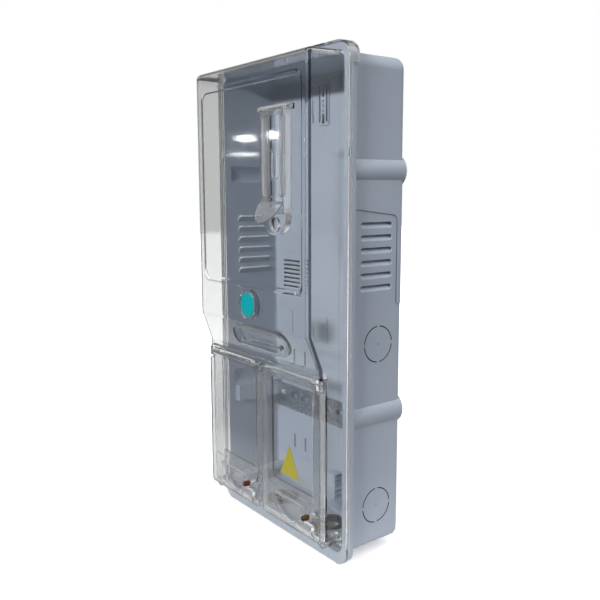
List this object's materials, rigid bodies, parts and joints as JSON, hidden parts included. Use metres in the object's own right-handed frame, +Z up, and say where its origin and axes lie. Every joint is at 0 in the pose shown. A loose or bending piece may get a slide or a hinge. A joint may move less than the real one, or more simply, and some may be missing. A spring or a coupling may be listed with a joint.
{
  "type": "electricity meter box",
  "caption": "Tall wall-mounted meter box: grey moulded tray with louvres, clear lift-up cover with access flap and push button, and clear sealable doors over the breaker openings.",
  "frame": {"origin": "centre of the back face, on the wall", "axes": "+X to the right as seen from the front, front towards -Y, +Z up"},
  "size_m": [0.27, 0.1616, 0.6],
  "materials": {
    "grey_plastic": "satin moulded",
    "clear_plastic": "clear polished",
    "teal_plastic": "smooth",
    "galvanised_steel": "zinc plated",
    "pin_steel": "bright",
    "red_brass": "turned, coppery",
    "dark_brass": "turned, dull",
    "sleeve_rubber": "matt",
    "yellow_film": "printed film, blank"
  },
  "bodies": {
    "base": {"base_box": "grey_plastic", "left_cable_sleeve": "sleeve_rubber", "right_cable_sleeve": "sleeve_rubber", "din_rail": "galvanised_steel", "rail_screws": "galvanised_steel", "cover_hinge_pins": "pin_steel"},
    "cover": {"front_cover": "clear_plastic", "left_door_pins": "pin_steel", "right_door_pins": "pin_steel", "flap_pin": "pin_steel", "button_spring": "pin_steel"},
    "button": {"push_button": "teal_plastic", "button_clip": "pin_steel"},
    "flap": {"access_flap": "clear_plastic"},
    "left_door": {"left_door": "clear_plastic"},
    "right_door": {"right_door": "clear_plastic", "blank_sticker": "yellow_film"},
    "left_screw": {"left_sealing_screw": "red_brass", "left_screw_ring": "pin_steel"},
    "right_screw": {"right_sealing_screw": "dark_brass", "right_screw_ring": "pin_steel"}
  },
  "joints": [
    {"name": "cover_hinge", "type": "hinge", "parent": "base", "child": "cover", "pos_m": [0, -0.071, 0.2947], "axis": [-1, 0, 0], "range_deg": [0, 110]},
    {"name": "button_press", "type": "slide", "parent": "cover", "child": "button", "axis": [0, 1, 0], "range_m": [0, 0.0015], "stiffness_N_per_m": 500, "deforming": ["button_spring"]},
    {"name": "flap_hinge", "type": "hinge", "parent": "cover", "child": "flap", "pos_m": [0.066, -0.14075, 0.2298], "axis": [-1, 0, 0], "range_deg": [0, 100]},
    {"name": "left_door_hinge", "type": "hinge", "parent": "cover", "child": "left_door", "pos_m": [-0.0625, -0.117, -0.0767], "axis": [-1, 0, 0], "range_deg": [0, 100]},
    {"name": "right_door_hinge", "type": "hinge", "parent": "cover", "child": "right_door", "pos_m": [0.0625, -0.117, -0.0767], "axis": [-1, 0, 0], "range_deg": [0, 100]},
    {"name": "left_screw_turn", "type": "hinge", "parent": "left_door", "child": "left_screw", "pos_m": [-0.019, -0.125, -0.2355], "axis": [0, -1, 0], "continuous": true},
    {"name": "right_screw_turn", "type": "hinge", "parent": "right_door", "child": "right_screw", "pos_m": [0.106, -0.125, -0.2355], "axis": [0, -1, 0], "continuous": true}
  ]
}
